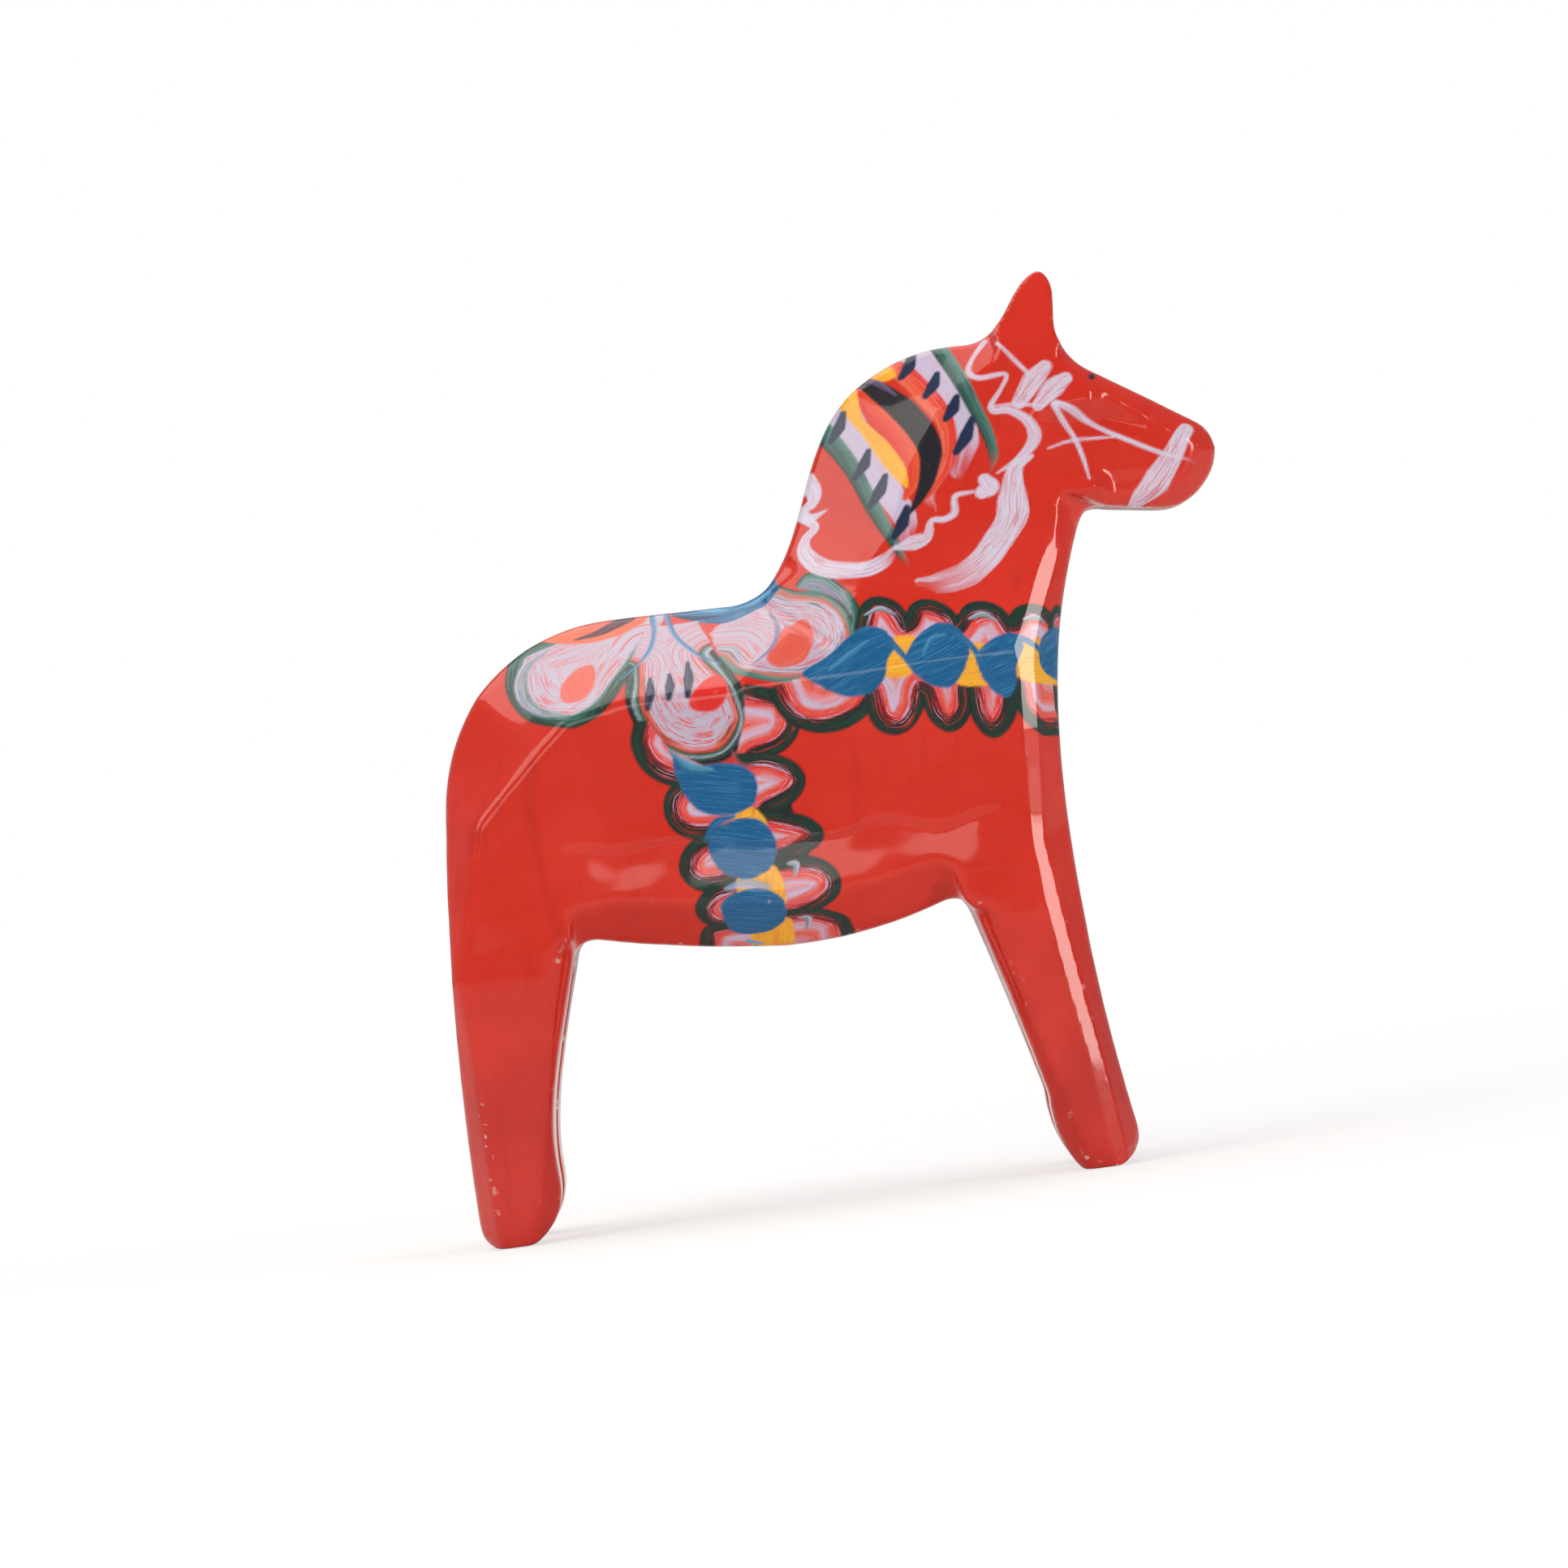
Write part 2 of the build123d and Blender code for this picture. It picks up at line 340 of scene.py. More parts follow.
def hairs(across, along, seed, per_mm=1.8, per_mm_along=0.16):
    """Streaks from -1 to 1 that run along the brush."""
    u, v = across * per_mm + seed * 7.3, along * per_mm_along + seed * 3.1
    i, j = np.floor(u), np.floor(v)
    f, g = smooth(0, 1, u - i), smooth(0, 1, v - j)

    def corner(a, b):
        return np.modf(np.abs(np.sin(a * 127.1 + b * 311.7 + seed) * 43758.5453))[0]

    low = corner(i, j) * (1 - f) + corner(i + 1, j) * f
    high = corner(i, j + 1) * (1 - f) + corner(i + 1, j + 1) * f
    return 2 * (low * (1 - g) + high * g) - 1


def blended(ramp, at):
    """A brush load's colour at each distance in from the edge."""
    stops = [stop for stop, _ in ramp]
    return np.stack([np.interp(at, stops, [shade[k] for _, shade in ramp]) for k in range(3)], axis=1)


def lay_paint(index, cover, main, second, show, across, along, body):
    below = colour[index]
    part = cover[:, None]
    second = below if second is None else second
    colour[index] = below + (main - below) * part
    between_hairs[index] += (second - between_hairs[index]) * part
    hair_show[index] += (show - hair_show[index]) * cover
    wet = cover > 0.4
    hair_across[index[wet]] = across[wet]
    hair_along[index[wet]] = along[wet]
    paint_body[index] = np.maximum(paint_body[index] * (1 - 0.5 * cover), body * cover)
    paint_cover[index] = np.maximum(paint_cover[index], cover)


strokes_laid = 0
edge_blur = 0.16


def near(line, reach):
    low, high = line.min(axis=0) - reach, line.max(axis=0) + reach
    return np.nonzero(((laid_flat > low) & (laid_flat < high)).all(axis=1))[0]


def stroke(points, widths, load, second=None, show=0.35, dry=0.0, thin=0.0, body=1.0, flat=False):
    """One pull of a round brush; load is one colour or the colours from its left hair to its right."""
    global strokes_laid
    strokes_laid += 1
    line = drawn(points if flat else on_pattern(points))
    widths = np.atleast_1d(np.asarray(widths, float))
    index = near(line, widths.max())
    distance, along, side, done = measured(line, laid_flat[index])
    half = np.maximum(np.interp(done, np.linspace(0, 1, len(widths)), widths) / 2, 0.05)
    across = distance * side
    streak = hairs(across, along, strokes_laid)
    edge = half * (1 + 0.10 * streak)
    cover = 1 - smooth(-edge_blur, edge_blur, distance - edge)
    if dry:
        worn = smooth(1 - dry, 1.0, done)
        cover *= 1 - worn * smooth(-0.7 - 0.3 * worn, 0.4, hairs(across, along, strokes_laid, 2.2, 0.1))
    cover *= 1 - thin * (0.5 + 0.5 * streak)
    shades = load if isinstance(load, list) else [load, load]
    place = np.clip(across / half + 0.25 * streak, -1, 1)
    ramp = list(zip(np.linspace(1, -1, len(shades))[::-1], shades[::-1]))
    lay_paint(index, cover, blended(ramp, place), second, show, across, along, body)


def patch(outline, closing, ramp, second=None, show=0.45, closed=False, body=0.8, pull=None, flat=False):
    """A filled shape; the brush followed its outline, so its load runs inward from there, in mm."""
    global strokes_laid
    strokes_laid += 1
    line = drawn(outline if flat else on_pattern(outline), closed)
    shape = np.concatenate((line, closing if flat else on_pattern(closing))) if closing else line
    shape = np.concatenate((shape, shape[:1]))
    index = near(shape, 0.6)
    places = laid_flat[index]
    gap = measured(shape, places)[0]
    depth, along = measured(line, places)[:2]
    (ax, ay), (bx, by) = shape[:-1].T, shape[1:].T
    px, py = places[:, :1], places[:, 1:]
    rise = np.where(by == ay, 1e-9, by - ay)
    crossings = ((ay > py) != (by > py)) & (px < (bx - ax) * (py - ay) / rise + ax)
    inside = crossings.sum(axis=1) % 2 == 1
    across = depth
    if pull is not None:
        way = np.array(pull) / math.hypot(*pull)
        along, across = places @ way, places @ np.array((-way[1], way[0]))
    streak = hairs(across, along, strokes_laid)
    cover = smooth(-edge_blur, edge_blur, np.where(inside, gap, -gap) + 0.12 * streak)
    if not isinstance(ramp, list):
        ramp = [(0, ramp), (1, ramp)]
    main = blended(ramp, depth + 0.45 * streak)
    other = None if second is None else blended(second, depth + 0.9 * streak) if isinstance(second,
                                                                                            list) else second
    lay_paint(index, cover, main, other, show, across, along, body)


# The saddle flower, painted wet over both sides of the back: petals pulled with a brush that carries
# dark green on one edge and lilac on the other, so that pink and red hairs show inside them, and small
# leaves and drops put in when they had dried.
lilac = tint(198, 188, 216)
blush = tint(222, 158, 164)
pink = tint(232, 128, 126)
coral = tint(226, 92, 74)
scarlet = tint(222, 34, 26)
orange = tint(234, 96, 52)
forest = tint(18, 58, 44)
ink = tint(26, 22, 26)
petal_white = tint(190, 182, 204)
teal = tint(84, 140, 132)
blue = tint(0, 90, 142)
sky = tint(92, 162, 204)
navy = tint(24, 34, 66)
violet = tint(130, 110, 150)
yellow = tint(244, 178, 44)
ochre = tint(176, 140, 52)

crescent = [(-3, 89), (-1, 90.7), (2, 90), (4.5, 87.5), (5.8, 84.5)]
patch(crescent, [(3.5, 83), (2.5, 86), (-1, 88)], [(0, forest), (1.2, teal), (2.2, violet), (3, teal)], lilac,
      0.35)
right_petal = [(-9, 89.5), (-7, 89.7), (-3, 88.5), (1, 87.5), (4, 85), (4.7, 81), (3, 78), (0, 76.0),
               (-4, 75.2), (-9, 76), (-13, 77.5), (-15, 80)]
petal_load = [(0, forest), (1.3, forest), (1.9, teal), (2.4, petal_white), (12, petal_white)]
petal_hairs = [(0, ink), (1.1, teal), (2.0, forest), (2.8, scarlet), (7.0, coral), (9.0, pink),
               (11.0, petal_white)]
soft_petal = [(0, forest), (0.5, teal), (1.1, coral), (1.8, petal_white), (12, petal_white)]
patch(right_petal, [(-16, 84), (-12, 87)], soft_petal, petal_hairs, 0.7)
patch([(-2, 84), (-1.2, 81), (-3, 78.2), (-6.5, 77.6), (-8.3, 79), (-6.7, 81.5), (-4.2, 83.4)], [], coral,
      [(0, pink), (3, scarlet)], 0.35, closed=True)
stroke([(4.6, 87), (5.4, 83.5), (4.2, 79.3), (1.2, 76.6)], [0.6, 1.5, 1.5, 0.6], [forest, teal], ink, 0.4)
stroke([(-7, 86), (-6.2, 83), (-7.5, 80.5), (-10.5, 78.5)], [0.3, 0.9, 0.7, 0.3], violet, None, 0.4)

left_petal = [(-36, 87.5), (-41, 86.3), (-45, 84), (-46.3, 80.5), (-45.5, 77), (-43, 74.5), (-38, 73),
              (-34, 73.8), (-31, 76), (-29, 78.5), (-27, 80.5), (-24.6, 83)]
patch(left_petal, [(-22, 88), (-30, 88.5)], petal_load, petal_hairs, 0.7)
stroke([(-40, 84.6), (-43.2, 82.5), (-44.1, 80), (-43.4, 77.4), (-41, 75.6), (-38, 74.9)],
       [0.6, 1.6, 2.0, 1.8, 1.2, 0.4], [teal, lilac], forest, 0.5, thin=0.4)
patch([(-33.3, 81.6), (-33.3, 79), (-35, 77), (-38, 76.8), (-38.2, 79), (-36, 81.2)], [], coral,
      [(0, pink), (3, scarlet)], 0.35, closed=True)

patch([(-41, 86.5), (-37, 85.3), (-33, 85), (-29, 85.5), (-25, 87)], [(-24, 91), (-32, 92), (-40, 90)],
      [(0, orange), (2, orange), (4, coral), (8, orange)], pink, 0.3)
stroke([(-35.5, 85.7), (-31.5, 86.4), (-27.5, 88)], [0.4, 1.6, 2.2], [navy, ink], scarlet, 0.3)
patch([(-21.5, 88), (-18.5, 86.2), (-15, 85.3), (-11.5, 85.6), (-8, 86.7), (-5.2, 89)],
      [(-6, 93), (-14, 94), (-21, 92)], [(0, blue), (2.2, blue), (3.5, sky), (7, blue)], sky, 0.4)
stroke([(-21, 87.3), (-18.3, 86.5), (-14.5, 86.3)], [0.4, 1.0, 0.3], navy, None, 0.2)
stroke([(-12.5, 87.2), (-9.5, 87.4), (-6.8, 88.6)], [0.3, 0.9, 0.9], sky, blue, 0.5)

bottom_petal = [(-28.6, 80.5), (-29, 78), (-29.2, 75), (-28, 71), (-26, 68), (-23, 66), (-20, 65.2),
                (-16, 65.5), (-13, 68), (-11.5, 71), (-12, 74.5), (-13.5, 78), (-15.5, 81)]
bottom_load = [(0, ink), (0.9, forest), (1.2, petal_white), (1.45, teal), (1.8, forest), (2.3, coral),
               (2.9, petal_white), (12, petal_white)]
patch(bottom_petal, [(-17.5, 86), (-25, 86)], bottom_load, petal_hairs, 0.75)
for start, end, wide in (((-25.3, 78.6), (-26.2, 74.3), 1.7), ((-22.5, 78.8), (-23.1, 75.3), 1.5),
                         ((-19.7, 80.2), (-20.3, 75.3), 1.7)):
    middle = ((start[0] + end[0]) / 2 + 0.15, (start[1] + end[1]) / 2)
    stroke([start, middle, end], [0.5, wide, 0.9], navy, None, 0.15, body=1.4)
patch([(-15, 77.4), (-14.6, 75), (-16.5, 72.8), (-19.5, 73.1), (-20.2, 74.6), (-18.2, 76.9), (-16.5, 77.7)],
      [], scarlet, [(0, coral), (3, scarlet)], 0.25, closed=True, body=1.2)
stroke([(-24, 88.5), (-24, 85), (-25.5, 82), (-29.5, 79)], [0.9, 0.7, 0.6, 0.2], [sky, blue], None, 0.2)
stroke([(-22, 88), (-21, 84.3), (-18, 81), (-15, 79.4)], [0.9, 0.7, 0.6, 0.2], [blue, sky], None, 0.2)

# The girth: a strap of dark-edged scallops that hangs from the flower and passes under the belly, with
# blue beads and yellow flecks down its middle.
scallop_load = [(0, ink), (0.8, forest), (1.9, ink), (2.4, scarlet), (3.1, coral), (3.9, lilac), (4.9, pink),
                (6, coral), (8, lilac)]
scallop_hairs = [(0, forest), (1.2, ink), (1.7, scarlet), (2.3, lilac), (3.0, scarlet), (4.2, lilac),
                 (5.4, scarlet), (7, coral)]
girth_middle = -15.0


def scallop(arc, base, flat=False):
    patch(arc, base, scallop_load, scallop_hairs, 0.75, flat=flat)


def bead(shape, lean, show=0.25, flat=False):
    patch(shape, [], blue, sky, show, closed=True, body=1.3, pull=(1, lean), flat=flat)


def fleck(shape, load, lean):
    patch(shape, [], load, orange, 0.45, closed=True, pull=lean)


scallops = [
    ([(-12, 75.9), (-9, 75), (-6.4, 73.8), (-4.8, 71), (-5.2, 68), (-7.6, 65.6), (-11.5, 64.6)],
     [(-14.5, 66), (-12.6, 71)]),
    ([(-28.3, 73), (-29.4, 69.5), (-28.4, 66), (-26, 63.6), (-22.5, 62)],
     [(-18, 64), (-24, 68), (-26.5, 72.5)]),
    ([(-13, 66), (-10.5, 65.9), (-8, 65), (-6, 63.6), (-5, 61.6), (-5.6, 59.6), (-7.6, 57.9), (-10.5, 56.8)],
     None),
    ([(-23.5, 63.4), (-25.2, 61.8), (-25.9, 59.4), (-25.3, 57), (-23.6, 55.3), (-21.3, 54.6), (-18, 54.4)],
     None),
    ([(-11.5, 58), (-8.5, 57), (-5.6, 55.8), (-3.8, 54), (-3.9, 52.2), (-5.8, 50.8), (-8.6, 49.8),
      (-11, 49.3)], None),
    ([(-18.5, 55.6), (-21.6, 55.1), (-23.9, 53.4), (-24.9, 51), (-24.2, 48.8), (-22.3, 47.3), (-19.5, 47),
      (-17, 47.4)], None),
    ([(-11, 50.8), (-7.5, 50.6), (-4.6, 49.8), (-2.7, 48.2), (-2, 46.2), (-2.6, 44.2), (-4.6, 42.8),
      (-7.5, 42), (-10, 41.6)], None),
    ([(-17, 48.4), (-20.2, 48), (-22.4, 46.6), (-23.4, 44.8), (-22.6, 42.8), (-20.4, 41.6), (-17, 41.2)], None),
    ([(-10, 43), (-6.4, 42.8), (-3.4, 41.8), (-1.4, 40), (-0.9, 37.6), (-2, 35.2), (-4.6, 33.6), (-9, 33)],
     None),
    ([(-17, 42.2), (-20.6, 42.3), (-23, 41.4), (-24, 39.2), (-23.3, 36.8), (-21, 35), (-18, 34.4)], None),
    ([(-9, 34.2), (-4.6, 33.9), (-1.6, 32), (-1, 29), (-2.6, 26), (-9, 23)], None),
    ([(-18, 35.6), (-22, 35), (-24.2, 32.6), (-24, 29), (-22, 26), (-18, 23)], None),
]
patch([(-8, 63), (-7.5, 57), (-6, 50), (-5.5, 42), (-5, 34), (-5, 24)],
      [(-21, 24), (-21, 34), (-20.8, 42), (-21.5, 48), (-22, 55), (-22.5, 62)], ink, forest, 0.4)
for arc, base in scallops:
    if base is None:
        base = [(girth_middle, arc[-1][1] - 0.4), (girth_middle, arc[0][1] + 0.4)]
    scallop(arc, base)
# Two small lilac-and-teal hooks on the girth are painted highlights: glints of light on the gloss, put in as
# paint strokes.
for start, bend, end in (((-9.3, 49.5), (-8.2, 49.2), (-8.5, 47.8)), ((-8.8, 41.6), (-7.5, 41.3),
                                                                      (-7.8, 39.8))):
    stroke([start, bend, end], [0.4, 1.1, 0.4], [lilac, teal], ink, 0.4)
flecks = [
    ([(-17, 56), (-14.8, 58), (-12.8, 58), (-11.6, 55.6), (-13, 53), (-16, 53)], yellow),
    ([(-17, 48.3), (-11.5, 49.6), (-10.2, 46), (-10.8, 43.5), (-15.5, 43.8)],
     [(0, yellow), (1.6, yellow), (3, ochre)]),
    ([(-15.7, 41), (-10.2, 41.8), (-9.7, 38), (-10, 35), (-15, 35)], yellow),
]
for shape, load in flecks:
    fleck(shape, load, (0.2, 1))
beads = [
    [(-23.6, 66.6), (-20, 65.3), (-15.5, 64.9), (-12.8, 63.4), (-12.1, 61.3), (-12.8, 59), (-15, 57.8),
     (-18.5, 57.8), (-21.5, 59.3), (-23, 62.5)],
    [(-20.2, 53.6), (-19.3, 50.2), (-16, 48.2), (-12.2, 49), (-10.5, 52.3), (-12, 55.8), (-15.3, 56.9),
     (-18.8, 55.8)],
    [(-19.7, 44.5), (-17.5, 46.3), (-13.5, 46.6), (-10.6, 44.3), (-11, 41.3), (-14.5, 40.1), (-18.5, 40.9)],
    [(-19.5, 36), (-15.5, 38.5), (-11, 36), (-11.5, 31.5), (-15.5, 29.8), (-19, 32)],
]
for shape in beads:
    bead(shape, -0.25, 0.22)
stroke([(-24, 67.8), (-21.5, 65.2), (-18.3, 64.3)], [0.3, 1.6, 0.5], [sky, blue], teal, 0.5)
stroke([(-20.5, 54.5), (-18.7, 56.7), (-16, 57.3)], [0.5, 1.2, 0.5], blue, sky, 0.3)
stroke([(-18.6, 47.2), (-15.5, 47.5), (-12.5, 46.6)], [0.5, 1.5, 0.5], [sky, lilac], teal, 0.5, thin=0.4)
stroke([(-16.5, 39.2), (-14.5, 38.6)], [0.8, 0.5], sky, lilac, 0.5)

# The breast strap: the same scallops and beads, laid flat round the chest from one shoulder to the
# other, and it meets itself in the middle of the breast.
strap_middle = 75.3
patch([(4, 71.5), (10, 69.5), (20, 68.5), (30, 67), (42, 66)], [(42, 77.5), (34, 79), (26, 80.5), (18, 81.8),
                                                                (6, 82.5)], ink, forest, 0.4)
shoulder_scallops = [
    ([(-9, 74.8), (-8, 71.6), (-6, 69), (-2.6, 67.5), (1.4, 67.6), (4.6, 69), (6.6, 71)],
     [(6, 74.5), (-2, 76)]),
    ([(4.8, 82), (5.9, 84.6), (7.6, 85.8), (9.8, 85.6), (11.8, 84.2), (13.2, 81.6)], None),
    ([(12, 82), (13.2, 83.9), (15.2, 84.5), (17.4, 83.8), (19.2, 82.3), (20.4, 79.8)], None),
    ([(19.2, 80.8), (20.6, 82.6), (22.8, 83.2), (25, 82.6), (26.6, 81.2), (27.8, 78.8)], None),
    ([(26.8, 80.4), (28.4, 81.6), (30.6, 81.7), (32.8, 80.6), (34.2, 79), (35, 77.3)], None),
    ([(4.8, 71.8), (5.2, 68.4), (6.6, 66.4), (8.8, 65.6), (11, 66.3), (12.8, 68.4), (13.8, 71)], None),
    ([(12.8, 70.6), (13.4, 67.6), (14.8, 65.7), (16.5, 65), (18.4, 65.8), (19.8, 67.8), (20.3, 70.6)], None),
    ([(19.3, 70.8), (19.5, 67), (20.6, 64.6), (22.3, 63.4), (24.2, 64), (25.9, 66), (27, 69)], None),
    ([(26, 70), (26.6, 66.4), (28.2, 64), (30.3, 62.6), (32.6, 62.8), (34.6, 65.4)], None),
]
for arc, base in shoulder_scallops:
    if base is None:
        base = [(arc[-1][0] + 0.3, strap_middle), (arc[0][0] - 0.3, strap_middle)]
    scallop(arc, base)
breast_end = 55.0
patch([(36, 66), (breast_end, 65)], [(breast_end, 78.5), (36, 78.5)], ink, forest, 0.4, flat=True)
for left in np.arange(36.5, breast_end - 1, 6.2):
    top = [(left - 0.3, 78), (left + 0.6, 80), (left + 2.6, 81.2), (left + 4.8, 80.6), (left + 6.3, 78.6),
           (left + 6.6, 77)]
    low = [(left - 0.2, 68.5), (left + 0.4, 65), (left + 2.4, 63), (left + 4.6, 63.2), (left + 6.2, 65.4),
           (left + 6.6, 68.4)]
    scallop(top, [(left + 6.4, strap_middle), (left, strap_middle)], flat=True)
    scallop(low, [(left + 6.4, strap_middle - 2), (left, strap_middle - 2)], flat=True)
patch([(39, 75.6), (breast_end, 75.4)], [(breast_end, 69.5), (39, 69.5)], yellow, orange, 0.45, pull=(1, 0),
      flat=True)
for left in (42.2, 50.8):
    shape = [(left - 0.8, 74.6), (left + 1.6, 77.2), (left + 4.6, 77), (left + 6.4, 73.8), (left + 5, 70.4),
             (left + 2.2, 69), (left, 71.2)]
    bead(shape, 0.35, flat=True)
# Three small lilac-and-teal arcs on the strap's upper scallops are painted highlights: glints of light on the
# gloss, put in as paint strokes.
for start, bend, end in (((21.3, 80.8), (23.4, 81.2), (25.2, 79.9)), ((6.5, 83.4), (8.8, 84), (10.8, 82.9)),
                         ((29, 79.7), (30.6, 79.8), (32, 78.8))):
    stroke([start, bend, end], [0.3, 0.9, 0.3], [lilac, teal], forest, 0.4)
strap_flecks = [
    [(8, 74.3), (8.5, 77), (10, 79.6), (13.6, 79.2), (12.6, 76), (11.5, 73.8)],
    [(18, 72), (19.7, 77), (23.2, 76.8), (22.6, 74), (23.4, 71)],
    [(27.5, 76.5), (34, 75), (34.5, 69), (33, 69), (27.8, 71)],
]
for shape in strap_flecks:
    fleck(shape, yellow, (1, 0))
leaves = [
    [(-3.6, 76.2), (0, 78), (3.2, 80.2), (6, 81.8), (8.4, 81.2), (10.3, 79), (8.9, 76.6), (8, 74),
     (6.3, 72.4), (3.8, 71.9), (1, 72.6), (-1.4, 74.2)],
    [(11.5, 76), (13.3, 79.2), (16.5, 80.9), (19.1, 80), (20.6, 77.5), (19.6, 73.8), (17, 71.5), (13.8, 72.7)],
    [(21.6, 75.4), (23.8, 77.3), (27, 77.9), (28.5, 76), (27.2, 73.5), (26.4, 70), (24.5, 69), (22.2, 71.8)],
    [(30.8, 75.8), (33.6, 78), (36.6, 77), (37.5, 73.6), (36, 70.4), (33.4, 69.2), (31.2, 71.5)],
]
for shape in leaves:
    bead(shape, 0.35)
for stem in ([(9, 80), (10.8, 77.4), (12.3, 74.6)], [(18.5, 80), (20.8, 77.2), (22.4, 73.2), (24.2, 70)],
             [(26.8, 77.6), (29, 76.6), (31.2, 74.2), (32.6, 71)]):
    stroke(stem, [1.0, 1.0, 0.5], blue, sky, 0.35, body=1.3)
stroke([(0.5, 76.2), (3.5, 77.9), (6.4, 79.6)], [0.5, 1.2, 0.5], [sky, blue], blue, 0.5, thin=0.5)
stroke([(14, 76.4), (15.6, 78.6), (17.6, 79)], [0.4, 1.1, 0.4], [sky, blue], blue, 0.5, thin=0.5)

# The mane panel: a leaf-shaped saddle of stripes over the crest of the neck, from the outside in green
# edges, lilac bands with navy dashes, red, black and a yellow heart.
stroke([(7.5, 112.4), (10, 106.2), (12.3, 101), (14.2, 96.6), (14, 93.5)], [5.0, 4.6, 4.0, 3.4, 1.8], lilac,
       blush, 0.35, dry=0.3)
stroke([(18.5, 120), (21, 115), (23.4, 110.2), (24, 106.2), (22.6, 102.2)], [6.4, 5.4, 4.6, 4.2, 2.2], lilac,
       blush, 0.35, dry=0.4)
stroke([(19.5, 102.5), (18, 99.6), (18.6, 97.2)], [2.6, 1.8, 0.6], blush, None, 0.5, dry=0.6)
stroke([(13.5, 120.5), (17, 117.6), (20.3, 113), (22, 108.5), (21.2, 103.6), (18.5, 100.3), (15.8, 98)],
       [2.6, 3.0, 3.0, 2.6, 2.2, 1.8, 0.4], [scarlet, orange], blush, 0.3)
stroke([(10.3, 117.6), (13, 112), (15.8, 107), (16.3, 102.6), (14.6, 99.4)], [2.4, 3.2, 3.2, 2.4, 0.8],
       [orange, scarlet], coral, 0.5)
patch([(9.6, 117), (10.3, 112), (13.4, 107.8), (15.2, 104), (15, 100.9), (12.8, 103.8), (9.8, 109.3),
       (7, 114.8)], [], [(0, yellow), (3, yellow)],
      orange, 0.25, closed=True, body=1.2)
patch([(11.5, 119), (14.5, 119.5), (16, 117.5), (13.5, 116.8)], [], yellow, orange, 0.3, closed=True)
stroke([(10.2, 117.8), (13, 115.6), (16, 112.4), (18.4, 108.6), (19.1, 105.4), (18.2, 102), (16.5, 99),
        (14.8, 97)],
       [1.6, 3.2, 4.2, 4.0, 3.4, 2.5, 1.4, 0.3], ink, navy, 0.3, body=1.4)
stroke([(11.0, 117.6), (13.2, 116.6), (15.4, 114.6)], [0.3, 1.0, 0.3], violet, ink, 0.5, thin=0.5)
stroke([(4.0, 111.4), (7.3, 105.6), (9.4, 100), (11.2, 95.5), (12.6, 92), (13.6, 89.8)],
       [3.0, 2.6, 2.3, 2.0, 1.3, 0.6], [teal, forest], ink, 0.4, dry=0.25)
stroke([(22.2, 121.3), (24.5, 116.2), (26.2, 111.6), (27.6, 107.4), (28.1, 104), (27.4, 101.8)],
       [2.4, 2.2, 2.1, 2.0, 1.5, 0.5], [teal, forest], ink, 0.4, dry=0.3)
dashes = [((5.2, 109.3), (7.5, 113)), ((8, 103.5), (10.3, 107)), ((9.5, 99), (12.2, 103)),
          ((12.2, 94), (14.7, 98)),
          ((16.5, 117), (18.8, 120.2)), ((19.5, 113.7), (21.7, 116.8)), ((22, 110), (24, 113)),
          ((22.8, 105), (25.8, 109.5))]
for low, high in dashes:
    middle = ((low[0] + high[0]) / 2 + 0.25, (low[1] + high[1]) / 2 - 0.1)
    stroke([low, middle, high], [1.0, 2.0, 1.0], navy, blue, 0.15, body=1.3)

# The white scrolls on the neck, each one pull of a round brush that starts full and runs dry.
white_load = tint(214, 205, 226)


def white(points, widths, show=0.35, **hand):
    stroke(points, widths, white_load, None, show, **hand)


white([(0.8, 103.5), (1.7, 102.2), (1.2, 100.7), (-0.4, 99.9)], [3.0, 2.4, 1.8, 1.2], 0.3)
white([(-0.8, 99.4), (0.6, 98.6), (3.2, 99.4)], [2.0, 1.6, 0.2], 0.3)
white([(-0.6, 99), (1.2, 97.2), (-0.4, 95.6), (-0.8, 93.6), (1, 91.4), (4, 90.3), (7.5, 90), (10.5, 91),
       (12.4, 92.8)], [1.6, 1.3, 1.5, 2.2, 2.8, 3.0, 2.7, 2.1, 0.4], 0.4, dry=0.2)
white([(12.2, 92.4), (15, 92.8), (17, 93.4), (17.9, 95.6), (19.9, 95.6), (21.4, 96.4), (21.8, 98.7),
       (24.5, 99)], [0.6, 2.4, 1.8, 0.8, 1.0, 1.1, 0.8, 0.4], 0.4, thin=0.1)
white([(25.7, 98.7), (26.9, 99.4), (26.4, 100.5)], [2.0, 2.9, 2.0])
white([(33.6, 103), (30.9, 101.4), (29.9, 97), (28.4, 93), (25, 89.4), (21, 87.2), (17.5, 86.7), (15, 87)],
       [0.5, 2.2, 4.1, 5.2, 5.2, 4.4, 3.2, 1.6], 0.5, dry=0.5)

# The bridle, in the same white with the tip of a small brush: crossed straps, a bow under the ear, a
# cheek strap and a broad noseband.
white([(29.2, 120.5), (27.2, 118.4), (26.2, 116.5), (27.5, 115.3), (31.4, 115.3), (30.6, 113.4),
       (28.8, 111.2), (29.1, 110.2), (31.2, 110), (33.5, 108.4),
        (34.4, 106.4), (33.8, 104.7), (31.6, 102.8), (28.2, 101.2)], [0.9, 0.6, 0.9, 0.8, 0.6, 0.5, 0.8, 1.0,
                                                                      1.1, 1.5, 1.9, 1.6, 1.1, 0.2],
      thin=0.1)
white([(28.6, 110.9), (32.5, 110.7), (36.2, 110)], [0.3, 0.7, 0.4], thin=0.25)
white([(30.8, 120), (33, 117.2), (35.2, 114.4)], [0.4, 0.6, 0.5], 0.3)
white([(37.2, 115.6), (35.2, 113.8), (32.8, 111)], [2.0, 3.2, 2.0], 0.6, thin=0.1)
white([(40, 113.5), (38, 112.4), (35.5, 110.2)], [2.0, 3.1, 1.8], 0.6, thin=0.1)
white([(38.1, 110.2), (41, 108.2), (46, 104.5), (52, 101.2), (57.4, 98.6)], [0.9, 0.9, 0.75, 0.6, 0.25],
      dry=0.2)
